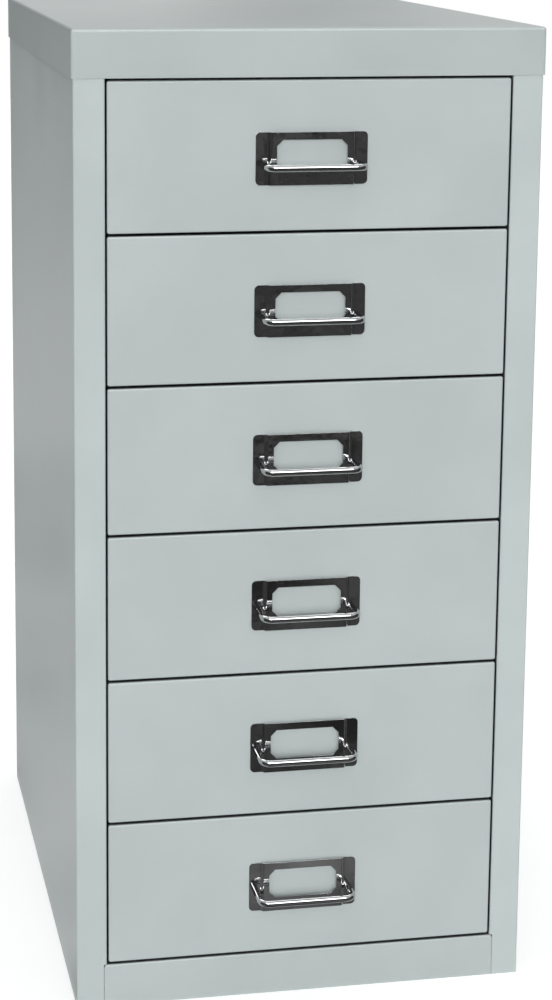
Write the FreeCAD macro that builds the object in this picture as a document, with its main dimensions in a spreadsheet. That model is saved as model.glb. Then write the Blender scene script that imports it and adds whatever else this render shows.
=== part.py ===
import FreeCAD, Part
import math
import os
import re
import Sketcher

# Small metal drawer cabinet: a folded and spot welded steel carcass with a pressed cap,
# and six equal drawers that hang by their side flanges in channel runners.
# Frame: +Z up, +X to the right seen from the front, the drawers open towards -Y.
# Origin: the middle of the carcass footprint, on the surface that the cabinet stands on.

# Driving dimensions, in millimetres. Each becomes a named cell of the sizes sheet.
SIZES = {
    # Carcass
    "overall_width": 279.0,
    "overall_depth": 380.0,
    "overall_height": 590.0,
    "steel": 0.8,
    "inner_bend": 0.5,
    "cap_flange": 28.0,
    "cap_inner_bend": 1.1,
    "cap_play": 0.2,
    "top_flange": 12.0,
    "top_relief": 6.0,
    "stile_width": 18.35,
    "stile_lip": 10.0,
    "rear_flange": 15.0,
    "back_play": 0.3,
    "base_flange": 12.0,
    "base_inner_corner": 1.6,
    # Front rails
    "rail_height": 26.2,
    "rail_lap": 1.9,
    "rail_seam": 0.25,
    "rail_return": 14.0,
    "rail_corner_radius": 2.0,
    "header_setback": 1.5,
    # Drawer fronts
    "drawer_count": 6,
    "front_gap": 1.5,
    "front_side_gap": 1.0,
    "front_depth": 12.0,
    "front_inner_bend": 0.6,
    # Drawer trays
    "tray_lift": 3.0,
    "tray_top_room": 9.55,
    "tray_rear_room": 12.4,
    "tray_inner_bend": 1.2,
    "flange_start_gap": 0.6,
    "flange_width": 6.45,
    "hem_depth": 5.0,
    "hem_inset": 0.4,
    # Runners
    "runner_steel": 1.0,
    "runner_inner_bend": 0.6,
    "runner_start_gap": 1.0,
    "shelf_edge_gap": 1.1,
    "hem_ride_gap": 0.3,
    "hem_top_gap": 0.5,
    "stop_tab_hem_gap": 1.05,
    "stop_tab_flange_gap": 1.7,
    "closing_gap": 0.3,
    # Stop clips on the trays
    "clip_rear_room": 49.5,
    "clip_length": 12.0,
    "clip_hem_gap": 0.5,
    "clip_shelf_gap": 0.8,
    "clip_nose_radius": 0.8,
    # Card plates
    "plate_steel": 0.8,
    "plate_width": 66.2,
    "plate_height": 30.8,
    "plate_drop": 1.6,
    "plate_corner_radius": 2.8,
    "plate_side_flange": 7.1,
    "plate_raise": 1.6,
    "plate_slope_run": 1.5,
    "plate_bend_radius": 0.6,
    "window_side_margin": 3.65,
    "window_top_margin": 4.4,
    "window_sill_margin": 8.6,
    "window_chamfer": 3.6,
    # Pull bars and their washers
    "pull_wire": 4.0,
    "pull_inset": 4.7,
    "pull_reach": 18.0,
    "pull_below_plate_top": 19.2,
    "pull_bend_radius": 5.5,
    "spigot_radius": 1.45,
    "spigot_play": 0.1,
    "rivet_head_lap": 0.85,
    "rivet_head_height": 1.0,
    "washer_radius": 4.5,
    "washer_steel": 0.8,
}

# Places worked out from the sizes, as expressions that the sheet's names can be put into.
BODY_X = "(overall_width / 2 - steel - cap_play)"
BODY_Y = "(overall_depth / 2 - steel - cap_play)"
OPENING_X = f"({BODY_X} - stile_width)"
CAP_UNDER = "(overall_height - steel)"
WALL_TOP = f"({CAP_UNDER} - cap_inner_bend - cap_play)"
INSIDE_X = f"({BODY_X} - steel)"
BACK_Y = f"({BODY_Y} - 2 * steel)"
OUTER_BEND = "(inner_bend + steel)"
PITCH = "((overall_height - cap_flange - rail_height - front_gap) / drawer_count)"
FRONT_X = f"({OPENING_X} - front_side_gap)"
FRONT_HEIGHT = f"({PITCH} - front_gap)"
# Along the depth of a drawer, counted back from the face of its front.
TRAY_BACK = f"({BODY_Y} + {BACK_Y} - tray_rear_room)"
# Up a drawer, counted from the lower edge of its front.
TRAY_TOP = f"({FRONT_HEIGHT} - tray_top_room)"
SHELF_TOP = f"({TRAY_TOP} - hem_depth - hem_ride_gap)"
GUIDE_UNDER = f"({TRAY_TOP} + hem_top_gap)"
PLATE_TOP = f"({FRONT_HEIGHT} / 2 - plate_drop + plate_height / 2)"
PULL_UP = f"({PLATE_TOP} - pull_below_plate_top)"
# Across a drawer, counted from its middle.
HEM_X = f"({FRONT_X} - hem_inset)"
TRAY_X = f"({HEM_X} - flange_width)"
SHELF_X = f"({TRAY_X} + shelf_edge_gap)"
WEB_X = f"({INSIDE_X} - runner_steel)"
RUNNER_START = "(front_depth + runner_start_gap)"
PULL_X = "(plate_width / 2 - pull_inset)"
SPIGOT_HOLE = "(spigot_radius + spigot_play)"

# The points of a line, an arc or a circle in the order that a sketch counts them, and the
# sketch's own origin, which it counts back from nothing.
LINE_START, LINE_END, CENTRE_POINT = range(1, 4)
SKETCH_ORIGIN = -1
STRAIGHT_SHARE = 1e-6
NEAR_SHARE = 0.02
QUARTER = math.pi / 2

doc = FreeCAD.newDocument("drawer_cabinet")
sizes = doc.addObject("Spreadsheet::Sheet", "Sizes")
for row, (name, number) in enumerate(SIZES.items(), start=1):
    sizes.set(f"A{row}", name)
    sizes.set(f"B{row}", str(number))
    sizes.setAlias(f"B{row}", name)
doc.recompute()

subparts = []


def bound(text):
    """Put the sheet's name before each size in an expression."""
    return re.sub(r"[a-z_]+", lambda found: "Sizes." + found.group()
                  if found.group() in SIZES else found.group(), text)


def value(text):
    """The number that an expression gives now."""
    return float(sizes.evalExpression(bound(text)))


def set_sizes(thing, **expressions):
    """Bind properties of an object to expressions."""
    for name, text in expressions.items():
        thing.setExpression(name, bound(text))


def place(thing, across="0", along="0", up="0"):
    """Bind the place of a sub-part to expressions."""
    for axis, text in (("x", across), ("y", along), ("z", up)):
        thing.setExpression(f"Placement.Base.{axis}", bound(text))


def new_body(name):
    """A sub-part of its own, whose label names its file."""
    body = doc.addObject("PartDesign::Body", name)
    body.Label = name
    subparts.append(body)
    return body


def new_sketch(body, plane, start="0"):
    """A sketch on one of the body's origin planes, moved along that plane's normal to start."""
    sketch = body.newObject("Sketcher::SketchObject", body.Name + "_sketch")
    support = next(item for item in body.Origin.OriginFeatures if item.Role == plane)
    sketch.AttachmentSupport = [(support, "")]
    sketch.MapMode = "FlatFace"
    sketch.setExpression("AttachmentOffset.Base.z", bound(start))
    return sketch


def hold(sketch, kind, geometry, point, text):
    """Hold a point of a sketch at an expression's distance from the origin."""
    rule = Sketcher.Constraint(kind, SKETCH_ORIGIN, LINE_START, geometry, point, value(text))
    number = sketch.addConstraint(rule)
    sketch.setExpression(f"Constraints[{number}]", bound(text))


def draw_outline(sketch, corners):
    """A closed outline through corners, each a pair of expressions."""
    spots = [FreeCAD.Vector(value(across), value(up), 0) for across, up in corners]
    lines = [
        sketch.addGeometry(Part.LineSegment(here, there))
        for here, there in zip(spots, spots[1:] + spots[:1])
    ]
    for line, follower in zip(lines, lines[1:] + lines[:1]):
        rule = Sketcher.Constraint("Coincident", line, LINE_END, follower, LINE_START)
        sketch.addConstraint(rule)
    for line, (across, up) in zip(lines, corners):
        hold(sketch, "DistanceX", line, LINE_START, across)
        hold(sketch, "DistanceY", line, LINE_START, up)


def draw_box(sketch, left, right, low, high):
    """A closed rectangle between four expressions."""
    draw_outline(sketch, [(left, low), (right, low), (right, high), (left, high)])


def draw_circle(sketch, across, up, radius):
    """A circle whose centre and radius are expressions."""
    centre = FreeCAD.Vector(value(across), value(up), 0)
    ring = sketch.addGeometry(Part.Circle(centre, FreeCAD.Vector(0, 0, 1), value(radius)))
    hold(sketch, "DistanceX", ring, CENTRE_POINT, across)
    hold(sketch, "DistanceY", ring, CENTRE_POINT, up)
    number = sketch.addConstraint(Sketcher.Constraint("Radius", ring, value(radius)))
    sketch.setExpression(f"Constraints[{number}]", bound(radius))


def draw_corner_waste(sketch, sign, right, top, radius):
    """The waste outside a round corner that lies at right and top, mirrored by the sign."""
    corner = FreeCAD.Vector(value(f"{sign} * {right}"), value(top), 0)
    inner = FreeCAD.Vector(value(f"{sign} * ({right} - {radius})"), value(f"{top} - {radius}"), 0)
    over = FreeCAD.Vector(inner.x, corner.y, 0)
    beside = FreeCAD.Vector(corner.x, inner.y, 0)
    level = sketch.addGeometry(Part.LineSegment(over, corner))
    upright = sketch.addGeometry(Part.LineSegment(corner, beside))
    ring = Part.Circle(inner, FreeCAD.Vector(0, 0, 1), value(radius))
    first_quarter = 0 if corner.x > inner.x else 1
    arc = Part.ArcOfCircle(ring, first_quarter * QUARTER, (first_quarter + 1) * QUARTER)
    bend = sketch.addGeometry(arc)
    over_end, beside_end = (LINE_END, LINE_START) if first_quarter == 0 else (LINE_START, LINE_END)
    for first, first_point, second, second_point in (
            (level, LINE_END, upright, LINE_START),
            (level, LINE_START, bend, over_end),
            (upright, LINE_END, bend, beside_end)):
        rule = Sketcher.Constraint("Coincident", first, first_point, second, second_point)
        sketch.addConstraint(rule)
    hold(sketch, "DistanceX", level, LINE_START, f"{sign} * ({right} - {radius})")
    hold(sketch, "DistanceY", level, LINE_START, top)
    hold(sketch, "DistanceX", upright, LINE_START, f"{sign} * {right}")
    hold(sketch, "DistanceY", upright, LINE_START, top)
    hold(sketch, "DistanceX", upright, LINE_END, f"{sign} * {right}")
    hold(sketch, "DistanceY", upright, LINE_END, f"{top} - {radius}")
    number = sketch.addConstraint(Sketcher.Constraint("Radius", bend, value(radius)))
    sketch.setExpression(f"Constraints[{number}]", bound(radius))


def feature(body, kind, profile, **expressions):
    """Add a feature to a body and make it the body's tip."""
    made = body.newObject(kind, body.Name + "_" + kind.split("::")[1].lower())
    made.Profile = profile
    set_sizes(made, **expressions)
    body.Tip = made
    return made


def pad(body, sketch, length, reverse=False, middle=False):
    """Pad a sketch by an expression's length."""
    made = feature(body, "PartDesign::Pad", sketch, Length=length)
    made.Reversed = reverse
    made.Midplane = middle
    doc.recompute()
    return made


def pocket_through(body, sketch, reverse=False):
    """Cut a sketch right through what lies on one side of it."""
    before = body.Shape.Volume
    made = feature(body, "PartDesign::Pocket", sketch)
    made.Type = "ThroughAll"
    made.Reversed = reverse
    doc.recompute()
    if body.Shape.Volume >= before:
        raise RuntimeError(f"{body.Label}: a pocket cuts nothing")
    return made


def run_of(edge):
    """The axis that a straight edge runs along, round for a closed one, or none for a bend."""
    if len(edge.Vertexes) == 1:
        return "round"
    run = edge.Vertexes[1].Point - edge.Vertexes[0].Point
    if edge.Length > run.Length * (1 + STRAIGHT_SHARE):
        return ""
    return max("xyz", key=lambda axis: abs(getattr(run, axis)))


def edges_where(shape, test):
    """Names of the edges whose middle and run pass a test."""
    return [f"Edge{number}" for number, edge in enumerate(shape.Edges, start=1)
            if run_of(edge) and test(edge.CenterOfMass, run_of(edge))]


def near(number, text):
    """Whether a coordinate is the one that an expression gives."""
    return abs(number - value(text)) < value("steel") * NEAR_SHARE


def near_side(number, text):
    """Whether a coordinate is the one that an expression gives, on either side of zero."""
    return near(abs(number), text)


def fillet(body, radius, test):
    """Round the edges of a body that pass a test."""
    base = body.Tip
    names = edges_where(base.Shape, test)
    if not names:
        raise RuntimeError(f"{body.Label}: no edge to round")
    made = body.newObject("PartDesign::Fillet", body.Name + "_fillet")
    made.Base = (base, names)
    set_sizes(made, Radius=radius)
    body.Tip = made
    doc.recompute()
    return made


def shell(body, wall, test):
    """Hollow a body to a sheet wall, open at the face whose middle passes a test."""
    base = body.Tip
    names = [f"Face{number}" for number, face in enumerate(base.Shape.Faces, start=1)
             if test(face.CenterOfMass)]
    made = body.newObject("PartDesign::Thickness", body.Name + "_thickness")
    made.Base = (base, names)
    set_sizes(made, Value=wall)
    made.Reversed = True
    body.Tip = made
    doc.recompute()
    return made


# Carcass


def make_side(name, sign):
    """A side panel: one sheet folded to the front stile, a rear flange and a top flange."""
    body = new_body(name)
    sketch = new_sketch(body, "XY_Plane")
    outline = [
        (BODY_X, f"-{BODY_Y}"),
        (BODY_X, BODY_Y),
        (f"{BODY_X} - rear_flange", BODY_Y),
        (f"{BODY_X} - rear_flange", f"{BODY_Y} - steel"),
        (INSIDE_X, f"{BODY_Y} - steel"),
        (INSIDE_X, f"-{BODY_Y} + steel"),
        (f"{OPENING_X} + steel", f"-{BODY_Y} + steel"),
        (f"{OPENING_X} + steel", f"-{BODY_Y} + stile_lip"),
        (OPENING_X, f"-{BODY_Y} + stile_lip"),
        (OPENING_X, f"-{BODY_Y}"),
    ]
    draw_outline(sketch, [(f"{sign} * ({across})", along) for across, along in outline])
    pad(body, sketch, WALL_TOP)
    outer = [(BODY_X, BODY_Y), (BODY_X, f"-{BODY_Y}"), (OPENING_X, f"-{BODY_Y}")]
    inner = [
        (INSIDE_X, f"{BODY_Y} - steel"),
        (INSIDE_X, f"-{BODY_Y} + steel"),
        (f"{OPENING_X} + steel", f"-{BODY_Y} + steel"),
    ]

    def at(spots):
        return lambda middle, along: along == "z" and any(
            near_side(middle.x, across) and near(middle.y, depth) for across, depth in spots)

    fillet(body, OUTER_BEND, at(outer))
    fillet(body, "inner_bend", at(inner))
    # The top flange carries the cap, and stops short of the stile and the rear flange.
    top = new_sketch(body, "XZ_Plane", f"{BODY_Y} - top_relief")
    outline = [
        (INSIDE_X, f"{WALL_TOP} - steel"),
        (BODY_X, f"{WALL_TOP} - steel"),
        (BODY_X, CAP_UNDER),
        (f"{INSIDE_X} - top_flange", CAP_UNDER),
        (f"{INSIDE_X} - top_flange", f"{CAP_UNDER} - steel"),
        (INSIDE_X, f"{CAP_UNDER} - steel"),
    ]
    draw_outline(top, [(f"{sign} * ({across})", up) for across, up in outline])
    pad(body, top, f"2 * ({BODY_Y} - top_relief)", reverse=True)
    fillet(body, OUTER_BEND, lambda middle, along: along == "y"
           and near_side(middle.x, BODY_X) and near(middle.z, CAP_UNDER))
    fillet(body, "inner_bend", lambda middle, along: along == "y"
           and near_side(middle.x, INSIDE_X) and near(middle.z, f"{CAP_UNDER} - steel"))
    # The lip and the bend are notched at the foot, where the bottom rail laps the stile.
    notch = new_sketch(body, "XZ_Plane")
    draw_box(notch, f"{sign} * ({OPENING_X} - rail_lap)", f"{sign} * ({OPENING_X} + rail_lap)",
             "-rail_lap", "rail_height + rail_seam")
    pocket_through(body, notch, reverse=True)
    return body


def make_cap():
    """The pressed cap that drops over the carcass, with a flange on all four sides."""
    body = new_body("top_cap")
    sketch = new_sketch(body, "XY_Plane")
    draw_box(sketch, "-overall_width / 2", "overall_width / 2",
             "-overall_depth / 2", "overall_depth / 2")
    pad(body, sketch, "cap_flange")
    fillet(body, "cap_inner_bend + steel", lambda middle, along: along == "z"
           or near(middle.z, "cap_flange"))
    shell(body, "steel", lambda middle: near(middle.z, "0"))
    place(body, up="overall_height - cap_flange")
    return body


def make_base():
    """The base panel, with its flanges turned up inside the sides, the rail and the back."""
    body = new_body("base_panel")
    sketch = new_sketch(body, "XY_Plane")
    draw_box(sketch, f"-{INSIDE_X}", INSIDE_X, f"-{BODY_Y} + steel", BACK_Y)
    pad(body, sketch, "base_flange")
    fillet(body, "base_inner_corner + steel", lambda middle, along: along == "z")
    fillet(body, OUTER_BEND, lambda middle, along: near(middle.z, "0"))
    shell(body, "steel", lambda middle: near(middle.z, "base_flange"))
    return body


def make_back():
    """The flat back panel, welded inside the rear flanges of the sides."""
    body = new_body("back_panel")
    sketch = new_sketch(body, "XZ_Plane")
    edge = f"({INSIDE_X} - inner_bend - back_play)"
    draw_box(sketch, f"-{edge}", edge, "0", WALL_TOP)
    pad(body, sketch, "steel", reverse=True)
    place(body, along=BACK_Y)
    return body


def make_bottom_rail():
    """The rail under the drawers, whose ends lap the stiles. Its face returns at the top only."""
    body = new_body("bottom_rail")
    sketch = new_sketch(body, "YZ_Plane")
    draw_outline(sketch, [
        ("0", "0"),
        ("steel", "0"),
        ("steel", "rail_height - steel"),
        ("rail_return", "rail_height - steel"),
        ("rail_return", "rail_height"),
        ("0", "rail_height"),
    ])
    half_length = f"({OPENING_X} + rail_lap - rail_seam)"
    pad(body, sketch, f"2 * {half_length}", middle=True)
    fillet(body, OUTER_BEND, lambda middle, along: along == "x" and near(middle.y, "0")
           and near(middle.z, "rail_height"))
    fillet(body, "inner_bend", lambda middle, along: along == "x" and near(middle.y, "steel")
           and near(middle.z, "rail_height - steel"))
    corners = new_sketch(body, "XZ_Plane")
    for sign in ("-1", "1"):
        draw_corner_waste(corners, sign, half_length, "rail_height", "rail_corner_radius")
    pocket_through(body, corners)
    place(body, along=f"-{BODY_Y}")
    return body


def make_header_rail():
    """The channel above the drawers, hidden behind the front flange of the cap."""
    body = new_body("header_rail")
    sketch = new_sketch(body, "YZ_Plane")
    height = "(cap_flange - header_setback - steel)"
    draw_outline(sketch, [
        ("0", "0"),
        ("rail_return", "0"),
        ("rail_return", "steel"),
        ("steel", "steel"),
        ("steel", f"{height} - steel"),
        ("rail_return", f"{height} - steel"),
        ("rail_return", height),
        ("0", height),
    ])
    pad(body, sketch, f"2 * {OPENING_X}", middle=True)
    fillet(body, OUTER_BEND, lambda middle, along: along == "x" and near(middle.y, "0"))
    fillet(body, "inner_bend", lambda middle, along: along == "x" and near(middle.y, "steel"))
    place(body, along=f"-{BODY_Y}", up=f"{CAP_UNDER} - {height}")
    return body


def make_runner(name, sign, floor):
    """A channel runner on a side panel, with a stop tab at its front and a lug at its rear."""
    body = new_body(name)
    profile = new_sketch(body, "XZ_Plane")
    low = f"({SHELF_TOP} - runner_steel)"
    high = f"({GUIDE_UNDER} + runner_steel)"
    outline = [
        (INSIDE_X, low),
        (INSIDE_X, high),
        (SHELF_X, high),
        (SHELF_X, GUIDE_UNDER),
        (WEB_X, GUIDE_UNDER),
        (WEB_X, SHELF_TOP),
        (SHELF_X, SHELF_TOP),
        (SHELF_X, low),
    ]
    draw_outline(profile, [(f"{sign} * {across}", up) for across, up in outline])
    length = f"({BODY_Y} + {BACK_Y} - {RUNNER_START})"
    pad(body, profile, length, reverse=True)
    fillet(body, "runner_inner_bend + runner_steel", lambda middle, along: along == "y"
           and near_side(middle.x, INSIDE_X))
    fillet(body, "runner_inner_bend", lambda middle, along: along == "y"
           and near_side(middle.x, WEB_X))
    tab = new_sketch(body, "XZ_Plane")
    draw_box(tab, f"{sign} * {SHELF_X}", f"{sign} * ({HEM_X} - steel - stop_tab_hem_gap)",
             low, f"{TRAY_TOP} - steel - stop_tab_flange_gap")
    pad(body, tab, "runner_steel", reverse=True)
    lug = new_sketch(body, "XZ_Plane", f"{RUNNER_START} - {TRAY_BACK} - closing_gap")
    draw_box(lug, f"{sign} * {SHELF_X}", f"{sign} * {INSIDE_X}", low, high)
    pad(body, lug, "runner_steel", reverse=True)
    place(body, along=f"-{BODY_Y} + {RUNNER_START}", up=floor)
    return body


# Drawers. Each piece is drawn from the lower edge of its drawer's front, at the front's face.


def seat_in_drawer(body, floor):
    """Put a drawer's piece in its place in the cabinet."""
    place(body, along=f"-{BODY_Y}", up=floor)
    return body


def draw_pull_holes(sketch, radius):
    """The two round places where the pull bar's ends go through."""
    for side in ("-1", "1"):
        draw_circle(sketch, f"{side} * {PULL_X}", PULL_UP, radius)


def make_front(name, floor):
    """A drawer front: a pan with its four edges returned into the cabinet."""
    body = new_body(name)
    sketch = new_sketch(body, "XY_Plane")
    draw_box(sketch, f"-{FRONT_X}", FRONT_X, "0", "front_depth")
    pad(body, sketch, FRONT_HEIGHT)
    fillet(body, "front_inner_bend + steel", lambda middle, along: along == "y" or near(middle.y, "0"))
    shell(body, "steel", lambda middle: near(middle.y, "front_depth"))
    holes = new_sketch(body, "XZ_Plane")
    draw_pull_holes(holes, SPIGOT_HOLE)
    pocket_through(body, holes)
    return seat_in_drawer(body, floor)


def make_tray(name, floor):
    """A drawer tray: a folded box whose side walls turn out and down into running hems."""
    body = new_body(name)
    sketch = new_sketch(body, "XY_Plane", "tray_lift")
    draw_box(sketch, f"-{TRAY_X}", TRAY_X, "steel", TRAY_BACK)
    pad(body, sketch, f"{TRAY_TOP} - tray_lift")
    fillet(body, "tray_inner_bend + steel", lambda middle, along: along == "z"
           or near(middle.z, "tray_lift"))
    shell(body, "steel", lambda middle: near(middle.z, TRAY_TOP))
    start = f"({RUNNER_START} + flange_start_gap)"
    hems = new_sketch(body, "XZ_Plane", f"-{start}")
    for side in ("-1", "1"):
        outline = [
            (f"{TRAY_X} - steel", f"{TRAY_TOP} - steel"),
            (f"{HEM_X} - steel", f"{TRAY_TOP} - steel"),
            (f"{HEM_X} - steel", f"{TRAY_TOP} - hem_depth"),
            (HEM_X, f"{TRAY_TOP} - hem_depth"),
            (HEM_X, TRAY_TOP),
            (f"{TRAY_X} - steel", TRAY_TOP),
        ]
        draw_outline(hems, [(f"{side} * ({across})", up) for across, up in outline])
    pad(body, hems, f"{TRAY_BACK} - {start} - tray_inner_bend - steel", reverse=True)
    fillet(body, OUTER_BEND, lambda middle, along: along == "y"
           and near_side(middle.x, HEM_X) and near(middle.z, TRAY_TOP))
    holes = new_sketch(body, "XZ_Plane", "-2 * steel - tray_inner_bend")
    draw_pull_holes(holes, SPIGOT_HOLE)
    pocket_through(body, holes, reverse=True)
    return seat_in_drawer(body, floor)


def make_stops(name, floor):
    """The two nylon clips under the tray's flanges that meet the runners' front tabs."""
    body = new_body(name)
    sketch = new_sketch(body, "XZ_Plane", f"-({TRAY_BACK} - clip_rear_room)")
    for side in ("-1", "1"):
        draw_box(sketch, f"{side} * {TRAY_X}", f"{side} * ({HEM_X} - steel - clip_hem_gap)",
                 f"{SHELF_TOP} + clip_shelf_gap", f"{TRAY_TOP} - steel")
    pad(body, sketch, "clip_length", reverse=True)
    fillet(body, "clip_nose_radius", lambda middle, along: along == "x"
           and near(middle.z, f"{SHELF_TOP} + clip_shelf_gap"))
    return seat_in_drawer(body, floor)


def make_card_plate(name, floor):
    """The card plate: two flanges on the front, and a raised middle with an eight sided window."""
    body = new_body(name)
    low = f"({PLATE_TOP} - plate_height)"
    outer = "(plate_width / 2)"
    fold = f"({outer} - plate_side_flange)"
    rise = f"({fold} - plate_slope_run)"
    slope = "sqrt(plate_slope_run ^ 2 + plate_raise ^ 2)"
    # The sheet keeps its thickness round the folds, so the corners of its back lie further in.
    shift = f"(plate_steel * ({slope} - plate_slope_run) / plate_raise)"
    crest = "(-plate_steel - plate_raise)"
    half = [
        (f"({rise} - {shift})", "-plate_raise"),
        (f"({fold} - {shift})", "0"),
        (outer, "0"),
        (outer, "-plate_steel"),
        (fold, "-plate_steel"),
        (rise, crest),
    ]
    profile = new_sketch(body, "XY_Plane", low)
    draw_outline(profile, half + [(f"-{across}", along) for across, along in reversed(half)])
    pad(body, profile, "plate_height")
    fillet(body, "plate_corner_radius", lambda middle, along: along == "y"
           and near_side(middle.x, outer))
    fillet(body, "plate_bend_radius + plate_steel", lambda middle, along: along == "z"
           and (near_side(middle.x, rise) or near_side(middle.x, half[1][0])))
    fillet(body, "plate_bend_radius", lambda middle, along: along == "z"
           and (near_side(middle.x, fold) or near_side(middle.x, half[0][0])))
    # The foot of the raised middle folds back to the front, and carries the card.
    foot = new_sketch(body, "XY_Plane", low)
    draw_box(foot, f"-{half[0][0]}", half[0][0], "-plate_raise - plate_steel / 2", "0")
    pad(body, foot, "plate_steel")
    window = new_sketch(body, "XZ_Plane")
    side = f"({rise} - window_side_margin)"
    top = f"({PLATE_TOP} - window_top_margin)"
    sill = f"({low} + window_sill_margin)"
    quarter = [(f"({side} - window_chamfer)", sill), (side, f"({sill} + window_chamfer)"),
               (side, f"({top} - window_chamfer)"), (f"({side} - window_chamfer)", top)]
    draw_outline(window, quarter + [(f"-{across}", up) for across, up in reversed(quarter)])
    pocket_through(body, window, reverse=True)
    holes = new_sketch(body, "XZ_Plane")
    draw_pull_holes(holes, SPIGOT_HOLE)
    pocket_through(body, holes, reverse=True)
    return seat_in_drawer(body, floor)


def draw_pull_path(sketch):
    """The centre line of the pull bar: two arms and a bar, joined by round bends."""
    end = PULL_X
    turn = f"({PULL_X} - pull_bend_radius)"
    reach = "(-pull_reach)"
    knee = "(-pull_reach + pull_bend_radius)"
    runs = [
        (f"-{end}", "-plate_steel", f"-{end}", knee),
        (f"-{turn}", reach, turn, reach),
        (end, knee, end, "-plate_steel"),
    ]
    lines = []
    for start_x, start_y, stop_x, stop_y in runs:
        start = FreeCAD.Vector(value(start_x), value(start_y), 0)
        stop = FreeCAD.Vector(value(stop_x), value(stop_y), 0)
        line = sketch.addGeometry(Part.LineSegment(start, stop))
        hold(sketch, "DistanceX", line, LINE_START, start_x)
        hold(sketch, "DistanceY", line, LINE_START, start_y)
        hold(sketch, "DistanceX", line, LINE_END, stop_x)
        hold(sketch, "DistanceY", line, LINE_END, stop_y)
        lines.append(line)
    ring = Part.Circle(FreeCAD.Vector(0, 0, 0), FreeCAD.Vector(0, 0, 1), value("pull_bend_radius"))
    for before, after, sign, quarters in ((0, 1, "-1", 2), (1, 2, "1", 3)):
        ring.Center = FreeCAD.Vector(value(f"{sign} * {turn}"), value(knee), 0)
        arc = Part.ArcOfCircle(ring, quarters * QUARTER, (quarters + 1) * QUARTER)
        bend = sketch.addGeometry(arc)
        sketch.addConstraint(Sketcher.Constraint("Coincident", lines[before], LINE_END,
                                                 bend, LINE_START))
        sketch.addConstraint(Sketcher.Constraint("Coincident", lines[after], LINE_START,
                                                 bend, LINE_END))
        rule = Sketcher.Constraint("Radius", bend, value("pull_bend_radius"))
        sketch.setExpression(f"Constraints[{sketch.addConstraint(rule)}]",
                             bound("pull_bend_radius"))


def make_pull_bar(name, floor):
    """The wire pull: one bent round wire whose thinner ends go through and are headed over."""
    body = new_body(name)
    path = new_sketch(body, "XY_Plane", PULL_UP)
    draw_pull_path(path)
    section = new_sketch(body, "XZ_Plane", "plate_steel")
    draw_circle(section, f"-{PULL_X}", PULL_UP, "pull_wire / 2")
    doc.recompute()
    wire = feature(body, "PartDesign::AdditivePipe", section)
    wire.Spine = (path, [f"Edge{number + 1}" for number in range(len(path.Shape.Edges))])
    doc.recompute()
    spigots = new_sketch(body, "XZ_Plane", "plate_steel")
    draw_pull_holes(spigots, "spigot_radius")
    grip = "(2 * steel + washer_steel)"
    pad(body, spigots, f"plate_steel + {grip}", reverse=True)
    heads = new_sketch(body, "XZ_Plane", f"-{grip}")
    draw_pull_holes(heads, f"{SPIGOT_HOLE} + rivet_head_lap")
    pad(body, heads, "rivet_head_height", reverse=True)
    fillet(body, "rivet_head_height / 2", lambda middle, along: along == "round"
           and near(middle.y, f"{grip} + rivet_head_height"))
    return seat_in_drawer(body, floor)


def make_pull_washers(name, floor):
    """The two washers between the tray's front wall and the headed ends of the pull bar."""
    body = new_body(name)
    sketch = new_sketch(body, "XZ_Plane", "-2 * steel")
    draw_pull_holes(sketch, "washer_radius")
    draw_pull_holes(sketch, SPIGOT_HOLE)
    pad(body, sketch, "washer_steel", reverse=True)
    return seat_in_drawer(body, floor)


DRAWER_PIECES = {
    "front": make_front,
    "tray": make_tray,
    "stops": make_stops,
    "card_plate": make_card_plate,
    "pull_bar": make_pull_bar,
    "pull_washers": make_pull_washers,
}


def make_cabinet():
    """The whole assembly, with drawer 1 at the top."""
    make_side("left_side", "-1")
    make_side("right_side", "1")
    make_back()
    make_base()
    make_cap()
    make_bottom_rail()
    make_header_rail()
    for number in range(1, int(SIZES["drawer_count"]) + 1):
        floor = f"(rail_height + front_gap + (drawer_count - {number}) * {PITCH})"
        make_runner(f"runner_{number}_left", "-1", floor)
        make_runner(f"runner_{number}_right", "1", floor)
        for piece, make in DRAWER_PIECES.items():
            make(f"drawer_{number}_{piece}", floor)


def check_document():
    """Stop if any object of the document failed, or a sub-part has no sound shape."""
    for thing in doc.Objects:
        if "Invalid" in thing.State or "Error" in thing.State:
            raise RuntimeError(f"{thing.Label} failed: {thing.State}")
    for body in subparts:
        shape = body.Shape
        if shape.isNull() or not shape.isValid() or not shape.Solids:
            raise RuntimeError(f"{body.Label} has no sound shape")


def write_subparts():
    """Write each sub-part to a file of its own."""
    os.makedirs("parts", exist_ok=True)
    for body in subparts:
        body.Shape.exportStep(f"parts/{body.Label}.step")
        print(body.Label, len(body.Shape.Solids), "solids", round(body.Shape.Volume), "mm3")


make_cabinet()
doc.recompute()
check_document()
write_subparts()
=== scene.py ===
"""The looks of a small metal drawer cabinet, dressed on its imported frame.

The frame holds the folded steel pieces at their real size. This script gives each of them its
finish, adds what only the looks need, such as the pressed card plates with their rolled edges and
the weld marks on the back, and sets up the studio and the camera.
"""

import logging
import math
from dataclasses import dataclass
from enum import Enum

import bmesh
import bpy
from mathutils import Matrix, Vector


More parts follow.
